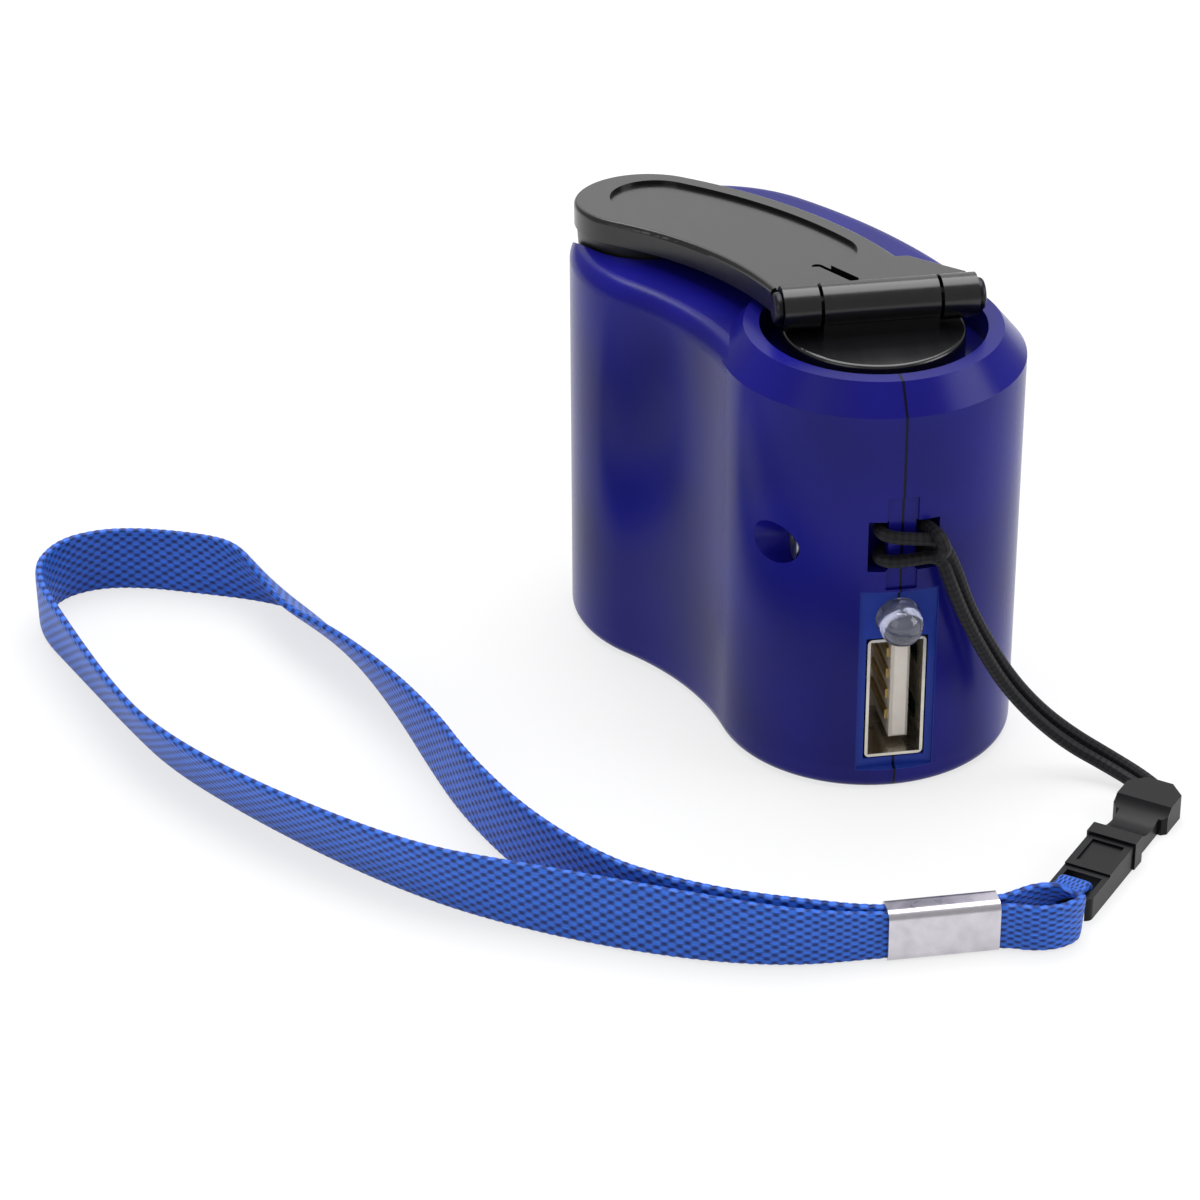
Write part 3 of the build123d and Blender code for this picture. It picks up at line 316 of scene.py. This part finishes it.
# then through the buckle, seen from its middle: along, across, z, and the half width as across and up
strapThroughBuckle = (
    (-12.9, 0.9, 2.8, -1.0, 1.9), (-12.0, 0.2, 2.95, -1.5, 0.5), (-11.0, 0.0, 2.95, -1.5, 0.0),
    (-8.9, 0.0, 2.9, -1.5, 0.0), (-8.9, 0.0, 0.7, -1.5, 0.0), (-11.0, 0.0, 0.66, -1.5, 0.0),
    (-12.0, -0.3, 1.0, -1.5, 0.4), (-12.9, -1.1, 2.4, -1.0, 1.9),
)
strapBack = (
    (11.3, -42.2, 0, 0, 4.6), (9.0, -43.7, 0, 0, 4.8), (6.2, -43.6, 0, 0, 4.85), (3.8, -42.45, 0, 0, 4.85),
    (-1.5, -42.45, 0, 0, 4.85),
)


def standingEdges(rows):
    # lower and upper edge of a standing tape: by Pythagoras the upper one is as high as its lean leaves it
    rows = np.array(rows, float)
    lean = rows[:, 2:4]
    rise = np.sqrt(rows[:, 4] ** 2 - (lean ** 2).sum(1))
    low = np.column_stack([rows[:, :2], 0 * rise + strap["clear"]])
    return low, np.column_stack([rows[:, :2] + lean, rise])


def buckleEdges(rows):
    # the same two edges from places in the buckle's own directions
    rows = np.array(rows, float)
    h = np.radians(strap["heading"])
    alongDirection = np.array([np.cos(h), np.sin(h), 0])
    acrossDirection = np.array([-np.sin(h), np.cos(h), 0])
    middle = np.array([*strap["buckle"], 0]) + rows[:, :1] * alongDirection + rows[:, 1:2] * acrossDirection
    middle[:, 2] = rows[:, 2]
    half = rows[:, 3:4] * acrossDirection + rows[:, 4:5] * np.array([0, 0, 1.0])
    return middle - half, middle + half


def tapeSurface(low, high):
    # a rounded rectangle carried along the middle line: height from edge to edge, thickness square to both
    middle = (low + high) / 2
    up = high - low
    wide = np.linalg.norm(up, axis=1)
    tangent = unit(np.gradient(middle, axis=0))
    side = unit(np.cross(tangent, up))
    along = runLengths(middle)
    turn = np.linspace(0, 2 * np.pi, 28, endpoint=False)
    v = np.sign(np.cos(turn)) * np.abs(np.cos(turn)) ** 0.3
    w = np.sign(np.sin(turn)) * np.abs(np.sin(turn)) ** 0.45
    loops = strap["scallop"] * (np.abs(np.sin(np.pi * along / strap["pick"])) - 0.5)
    edge = np.abs(v) ** 6
    height = v * wide[:, None] / 2 + np.sign(v) * edge * loops[:, None]
    thick = w * strap["thick"] / 2 + 0 * along[:, None]
    grid = middle[:, None] + height[..., None] * unit(up)[:, None] + thick[..., None] * side[:, None]
    across = runLengths(np.column_stack([v * strap["width"] / 2, w * strap["thick"] / 2, 0 * v]))
    return grid, along, across, middle


edges = [standingEdges(strapLoop), buckleEdges(strapThroughBuckle), standingEdges(strapBack)]
low = splinePoints(np.vstack([e[0] for e in edges]), 40)
high = splinePoints(np.vstack([e[1] for e in edges]), 40)
centre = (low + high) / 2
low, high = evenly(low, 0.2, centre), evenly(high, 0.2, centre)
grid, along, across, middle = tapeSurface(low, high)
wristStrap = surfacePiece("wristStrap", grid * mm, (along, across), wovenPolyesterTape())
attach(wristStrap, "strap")
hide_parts("wrist_strap", "strap_loop")
print("wrist strap", round(float(along[-1]), 1), "mm")


# ---------- lanyard cord ----------

lanyard = {"thick": 1.24, "front": -15.14, "behind": -12.11, "hitch": 2.2}    # mm


def aroundBar(z, rise):
    # one turn of the hitch: in front of the bar from the right, round its left side and back behind it
    f, b, h = lanyard["front"], lanyard["behind"], lanyard["hitch"]
    return ((3.5, f - 0.3, z - rise), (0.8, f - 0.2, z - 0.5 * rise), (-h + 0.9, f, z),
            (-h - 0.1, f + 1.3, z + 0.1 * rise), (-h + 0.9, b, z + 0.3 * rise), (h - 0.9, b, z + 0.4 * rise),
            (h + 0.1, b - 1.2, z + 0.5 * rise))


upperStrand = (
    (5.1, -15.1, 24.4), (6.4, -14.9, 20.4), (8.7, -14.3, 15.7), (11.3, -13.7, 11.1), (14.5, -13.6, 7.0),
    (18.0, -13.7, 3.8), (21.3, -15.1, 1.9), (23.9, -17.8, 1.0), (25.2, -20.7, 0.75), (24.6, -23.4, 0.75),
)
lowerStrand = (
    (4.3, -16.2, 23.6), (5.8, -16.0, 19.7), (8.0, -15.5, 15.2), (10.6, -14.9, 10.6), (13.8, -14.8, 6.6),
    (17.2, -15.0, 3.4), (20.5, -16.5, 1.7), (22.8, -19.0, 1.0), (24.1, -21.7, 0.75), (23.3, -24.3, 0.75),
)
overHitch = ((3.3, lanyard["front"] - 1.4, 28.6), (3.7, lanyard["front"] - 1.7, 26.8))
cordRoute = (upperStrand[::-1] + aroundBar(28.3, 0.5) + overHitch + aroundBar(25.6, -0.5)[::-1] + lowerStrand)


def tubeSurface(middle, radius, sides):
    # a circle carried along a line; its start direction is turned as little as possible from point to point
    tangent = unit(np.gradient(middle, axis=0))
    side = np.zeros_like(middle)
    side[0] = unit(np.cross(tangent[0], (0.3, 0.2, 1.0)))
    for k in range(1, len(middle)):
        side[k] = unit(side[k - 1] - tangent[k] * (side[k - 1] @ tangent[k]))
    other = np.cross(tangent, side)
    turn = np.linspace(0, 2 * np.pi, sides, endpoint=False)
    ring = np.cos(turn)[:, None] * side[:, None] + np.sin(turn)[:, None] * other[:, None]
    return middle[:, None] + radius * ring, runLengths(middle), np.linspace(0, 1, sides, endpoint=False)


cordMiddle = evenly(splinePoints(np.array(cordRoute), 24), 0.25)
grid, along, across = tubeSurface(cordMiddle, lanyard["thick"] / 2, 18)
lanyardCord = surfacePiece("lanyardCord", grid * mm, (along, across), braidedPolyesterCord())
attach(lanyardCord, "housing")
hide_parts("lanyard_cord")
print("lanyard cord", round(float(along[-1]), 1), "mm")


# ---------- finishes of the hard parts ----------

shellFinish = {
    "blue": "#1a188c", "deep": "#0b0a48",
    "cloud": 14.0,                    # mm between the lighter and darker clouds of dye
    "facetPaintedGlow": "#1f3690",               # painted glow: the flat face round the socket coloured lighter, standing in for light through its thin wall
    "facetX": 3.75, "facetY": -13.6,  # mm: its half width, and the y in front of which it lies
    "facetZ": (12.15, 9.85),          # mm: its middle and half height
    "seamColour": "#05051c", "seam": 0.09,    # parting line, and its half width in mm
    "bend": (-44.86, -5.51), "bendRadius": 45.2,    # mm: the arc that it follows
    "fade": (0.1, 0.08),              # mm: softness of the facet's and the line's edges
    "grain": 0.35,                    # mm: fine spark texture of the mould
    "transmission": 0.1, "roughness": 0.22, "gloss": 0.1,
}


def nearValue(tree, value, middle, half, fade):
    # 1 within the half width of a value, fading to 0 over the distance after it
    away = maths(tree, "SUBTRACT", value, middle)
    away = maths(tree, "ABSOLUTE", away.outputs[0])
    return spread(tree, away.outputs[0], (1.0, 0.0), (half, half + fade)).outputs[0]


def mouldedTranslucentAbs():
    # dyed clear ABS, injection moulded: deep blue, lets a little light through, satin skin, dark parting line,
    # and a painted glow on the flat face round the socket
    material, tree = newMaterial("mouldedTranslucentAbs")
    where = addNode(tree, "ShaderNodeTexCoord")
    place = addNode(tree, "ShaderNodeSeparateXYZ", {"Vector": where.outputs["Object"]})
    clouds = noise(tree, where.outputs["Object"], shellFinish["cloud"], 1.0)
    dye = mixed(tree, clouds.outputs["Fac"], linear(shellFinish["deep"]), linear(shellFinish["blue"]))
    middle, half = shellFinish["facetZ"]
    facetFade, seamFade = shellFinish["fade"]
    sides = nearValue(tree, place.outputs[0], 0.0, shellFinish["facetX"] * mm, facetFade * mm)
    ends = nearValue(tree, place.outputs[2], middle * mm, half * mm, facetFade * mm)
    front = maths(tree, "LESS_THAN", place.outputs[1], shellFinish["facetY"] * mm)
    facetPaintedGlow = maths(tree, "MULTIPLY", sides, ends)
    facetPaintedGlow = maths(tree, "MULTIPLY", facetPaintedGlow.outputs[0], front.outputs[0])
    # painted light: the flat face round the socket coloured a lighter blue, standing in for light through its
    # thin wall
    colour = mixed(tree, facetPaintedGlow.outputs[0], dye.outputs[0], linear(shellFinish["facetPaintedGlow"]))
    # the parting line: straight in front of the crank's axis, an arc about the bend's centre behind it
    flat = addNode(tree, "ShaderNodeCombineXYZ", {"X": place.outputs[0], "Y": place.outputs[1]})
    x, y = shellFinish["bend"]
    arc = addNode(tree, "ShaderNodeVectorMath", {
        0: flat.outputs[0], 1: (x * mm, y * mm, 0.0)}, operation="DISTANCE")
    seamHalf = shellFinish["seam"] * mm
    behind = nearValue(tree, arc.outputs["Value"], shellFinish["bendRadius"] * mm, seamHalf, seamFade * mm)
    ahead = nearValue(tree, place.outputs[0], 0.0, seamHalf, seamFade * mm)
    isAhead = maths(tree, "LESS_THAN", place.outputs[1], 0.0)
    seam = mixed(tree, isAhead.outputs[0], behind, ahead)
    colour = mixed(tree, seam.outputs[0], colour.outputs[0], linear(shellFinish["seamColour"]))
    grain = noise(tree, where.outputs["Object"], shellFinish["grain"], 2.0)
    height = maths(tree, "MULTIPLY_ADD", seam.outputs[0], -8.0, grain.outputs["Fac"])
    rough = spread(tree, grain.outputs["Fac"], (shellFinish["roughness"] - 0.03, shellFinish["roughness"] + 0.05))
    bump = bumped(tree, height.outputs[0], 0.12, 0.03)
    shader = addNode(tree, "ShaderNodeBsdfPrincipled", {
        "Base Color": colour.outputs[0], "Roughness": rough.outputs[0], "Normal": bump.outputs[0],
        "Transmission Weight": shellFinish["transmission"], "IOR": 1.54,
        "Specular IOR Level": shellFinish["gloss"]})
    finishMaterial(tree, shader)
    return material


blackFinish = {"black": "#0a0a0c", "worn": "#101013", "scratch": 0.9}    # mm between hairline scuffs


def mouldedBlackAbs(name, roughness, grain, gloss=0.5):
    # black ABS from a polished mould: even gloss with hairline scuffs from handling
    material, tree = newMaterial(name)
    where = addNode(tree, "ShaderNodeTexCoord")
    drawn = addNode(tree, "ShaderNodeMapping", {"Vector": where.outputs["Object"], "Rotation": (0, 0, 0.6),
                                              "Scale": (1.0, 0.08, 1.0)})
    scuffs = addNode(tree, "ShaderNodeTexNoise", {"Vector": drawn.outputs[0], "Detail": 3.0,
                                                "Scale": 1 / (blackFinish["scratch"] * mm)})
    skin = noise(tree, where.outputs["Object"], grain, 2.0)
    colour = mixed(tree, scuffs.outputs["Fac"], linear(blackFinish["black"]), linear(blackFinish["worn"]))
    rough = spread(tree, scuffs.outputs["Fac"], (roughness, roughness + 0.03), (0.35, 0.75))
    bump = bumped(tree, skin.outputs["Fac"], 0.06, 0.03)
    shader = addNode(tree, "ShaderNodeBsdfPrincipled", {
        "Base Color": colour.outputs[0], "Roughness": rough.outputs[0], "Normal": bump.outputs[0], "IOR": 1.54,
        "Specular IOR Level": gloss})
    finishMaterial(tree, shader)
    return material


metalFinish = {
    "zincPlatedSteel": ("#b9bbc0", "#9a9ca3", 0.28, 0.4),       # colours, roughness, mm between the marks
    "stampedSheetSteel": ("#b3b2ad", "#93928d", 0.34, 1.2),
    "drawnNickelCan": ("#a9a9ab", "#8c8c90", 0.25, 2.0),
    "tinPlatedShell": ("#d9d5cc", "#b8b2a6", 0.2, 1.5),
    "nickelCrimp": ("#dcd8de", "#b4b0b8", 0.26, 1.6),
    "turnedBrass": ("#c9a24a", "#a07a30", 0.25, 0.3),
    "platedContact": ("#c8ad72", "#a78c50", 0.3, 0.6),
    "blackenedPin": ("#3a3a3e", "#222226", 0.3, 0.5),
}


def plainMetal(name):
    # worked metal: turned, stamped or plated, with fine marks that spread its reflections a little
    bright, dull, roughness, marks = metalFinish[name]
    material, tree = newMaterial(name)
    where = addNode(tree, "ShaderNodeTexCoord")
    texture = noise(tree, where.outputs["Object"], marks, 4.0)
    colour = mixed(tree, texture.outputs["Fac"], linear(dull), linear(bright))
    rough = spread(tree, texture.outputs["Fac"], (roughness + 0.1, roughness), (0.3, 0.7))
    bump = bumped(tree, texture.outputs["Fac"], 0.1, 0.02)
    shader = addNode(tree, "ShaderNodeBsdfPrincipled", {
        "Base Color": colour.outputs[0], "Roughness": rough.outputs[0], "Metallic": 1.0,
        "Normal": bump.outputs[0]})
    finishMaterial(tree, shader)
    return material


plasticFinish = {
    "naturalAcetal": ("#e6e3da", "#d8d4c8", 0.38, 3.0),        # colours, roughness, mm between its clouds
    "creamTongue": ("#ece5db", "#ddd3c4", 0.35, 2.0),
    "solderMask": ("#12562f", "#0d4425", 0.3, 4.0),
    "epoxyChip": ("#1b1b1d", "#131315", 0.5, 0.3),
    "shrunkSleeve": ("#151a33", "#10142a", 0.3, 2.0),
    "pvcLead": ("#b01818", "#8e1212", 0.4, 1.5),
    "enamelledWire": ("#a4602c", "#7c431a", 0.25, 0.3),
}


def plainPlastic(name):
    # moulded or coated part: slightly cloudy colour under an even, fine skin
    litTop, dark, roughness, clouds = plasticFinish[name]
    material, tree = newMaterial(name)
    where = addNode(tree, "ShaderNodeTexCoord")
    cloud = noise(tree, where.outputs["Object"], clouds, 2.0)
    skin = noise(tree, where.outputs["Object"], 0.2)
    colour = mixed(tree, cloud.outputs["Fac"], linear(dark), linear(litTop))
    bump = bumped(tree, skin.outputs["Fac"], 0.1, 0.03)
    shader = addNode(tree, "ShaderNodeBsdfPrincipled", {
        "Base Color": colour.outputs[0], "Roughness": roughness, "Normal": bump.outputs[0], "IOR": 1.5})
    finishMaterial(tree, shader)
    return material


def castClearEpoxy():
    # clear cast epoxy lamp: glassy, a little cloudy in patches, with a faint blue cast
    material, tree = newMaterial("castClearEpoxy")
    where = addNode(tree, "ShaderNodeTexCoord")
    cloud = noise(tree, where.outputs["Object"], 1.5)
    rough = spread(tree, cloud.outputs["Fac"], (0.03, 0.12))
    shader = addNode(tree, "ShaderNodeBsdfPrincipled", {
        "Base Color": linear("#d9ddf7"), "Roughness": rough.outputs[0], "Transmission Weight": 0.92, "IOR": 1.54})
    finishMaterial(tree, shader)
    return material


glossBlack = mouldedBlackAbs("polishedBlackAbs", 0.22, 0.8)
satinBlack = mouldedBlackAbs("satinBlackAbs", 0.36, 0.3)
zincSteel = plainMetal("zincPlatedSteel")
sheetSteel = plainMetal("stampedSheetSteel")
acetal = plainPlastic("naturalAcetal")
chips = plainPlastic("epoxyChip")
shownAs(mouldedTranslucentAbs(), "shell_left", "shell_right")
shownAs(glossBlack, "crank_arm", "crank_hub")
shownAs(satinBlack, "knob", "knob_cap", "motor_end_cap")
shownAs(mouldedBlackAbs("buckleAcetal", 0.34, 0.5, 0.16), "buckle_clip", "buckle_socket")
shownAs(plainMetal("blackenedPin"), "hinge_pin")
shownAs(zincSteel, "case_screws", "hub_washer", "hub_screw", "knob_axle", "gear_axles", "motor_shaft",
        "clutch_ring", "lamp_legs")
shownAs(sheetSteel, "gear_plate_lower", "gear_plate_upper", "plate_pillars")
shownAs(plainMetal("drawnNickelCan"), "motor_can")
shownAs(plainMetal("tinPlatedShell"), "socket_shell")
shownAs(plainMetal("nickelCrimp"), "strap_crimp")
shownAs(plainMetal("turnedBrass"), "motor_pinion")
shownAs(plainMetal("platedContact"), "socket_contacts", "motor_terminals")
shownAs(acetal, "drive_gear", "first_gear", "second_gear")
shownAs(plainPlastic("creamTongue"), "socket_tongue")
shownAs(plainPlastic("solderMask"), "circuit_board")
shownAs(chips, "bridge_diodes", "regulator_chip")
shownAs(plainPlastic("shrunkSleeve"), "storage_capacitor")
shownAs(plainPlastic("pvcLead"), "motor_leads")
shownAs(plainPlastic("enamelledWire"), "choke_coil")
shownAs(castClearEpoxy(), "lamp_lens")
print("finishes set")


# ---------- table, world and lamps ----------

studio = {
    "table": "#ffffff", "ambient": 0.45,
    "lamps": (     # name, place, size in m, watts
        ("overhead", (0.05, 0.25, 0.75), 0.7, 7.0),
        ("right", (0.75, -0.25, 0.4), 0.5, 3.0),
        ("left", (-0.7, -0.5, 0.5), 0.6, 1.6),
        ("behind", (0.0, 1.0, 0.62), 0.9, 1.9),
    ),
}


def paperTable():
    # seamless white paper: white where it is seen, mirrored or looked through, with the shadow left on it
    material, tree = newMaterial("paperTable")
    path = addNode(tree, "ShaderNodeLightPath")
    seen = maths(tree, "MAXIMUM", path.outputs["Is Camera Ray"], path.outputs["Is Glossy Ray"])
    seen = maths(tree, "MAXIMUM", seen.outputs[0], path.outputs["Is Transmission Ray"])
    share = maths(tree, "MULTIPLY", seen.outputs[0], 0.7)
    paper = addNode(tree, "ShaderNodeBsdfDiffuse", {"Color": linear("#f2f2f2"), "Roughness": 0.5})
    glow = addNode(tree, "ShaderNodeEmission", {"Color": linear(studio["table"]), "Strength": 1.0})
    mix = addNode(tree, "ShaderNodeMixShader", {0: share.outputs[0], 1: paper.outputs[0], 2: glow.outputs[0]})
    finishMaterial(tree, mix)
    return material


tableMesh = bpy.data.meshes.new("table")
tableMesh.from_pydata([(-3, -3, 0), (3, -3, 0), (3, 3, 0), (-3, 3, 0)], [], [(0, 1, 2, 3)])
tableMesh.materials.append(paperTable())
table = bpy.data.objects.new("table", tableMesh)
scene.collection.objects.link(table)

world = bpy.data.worlds.new("studioWorld")
scene.world = world
world.use_nodes = True
tree = world.node_tree
tree.nodes.clear()
path = addNode(tree, "ShaderNodeLightPath")
seen = maths(tree, "MAXIMUM", path.outputs["Is Camera Ray"], path.outputs["Is Transmission Ray"])
level = spread(tree, seen.outputs[0], (studio["ambient"], 1.0))
sky = addNode(tree, "ShaderNodeBackground", {"Color": (1, 1, 1, 1), "Strength": level.outputs[0]})
addNode(tree, "ShaderNodeOutputWorld", {"Surface": sky.outputs[0]})

for name, place, size, power in studio["lamps"]:
    lampData = bpy.data.lights.new(name, "AREA")
    lampData.shape, lampData.size, lampData.energy = "SQUARE", size, power
    lamp = bpy.data.objects.new(name, lampData)
    scene.collection.objects.link(lamp)
    aim = np.array((-0.02, -0.01, 0.02)) - np.array(place)
    back = unit(-aim)
    right = unit(np.cross((0, 0.001, 1.0), back))
    lamp.matrix_world = Matrix.Translation(place) @ Matrix(
        np.column_stack([right, np.cross(back, right), back]).tolist()).to_4x4()
scene.view_settings.view_transform = "Standard"
print("studio set")
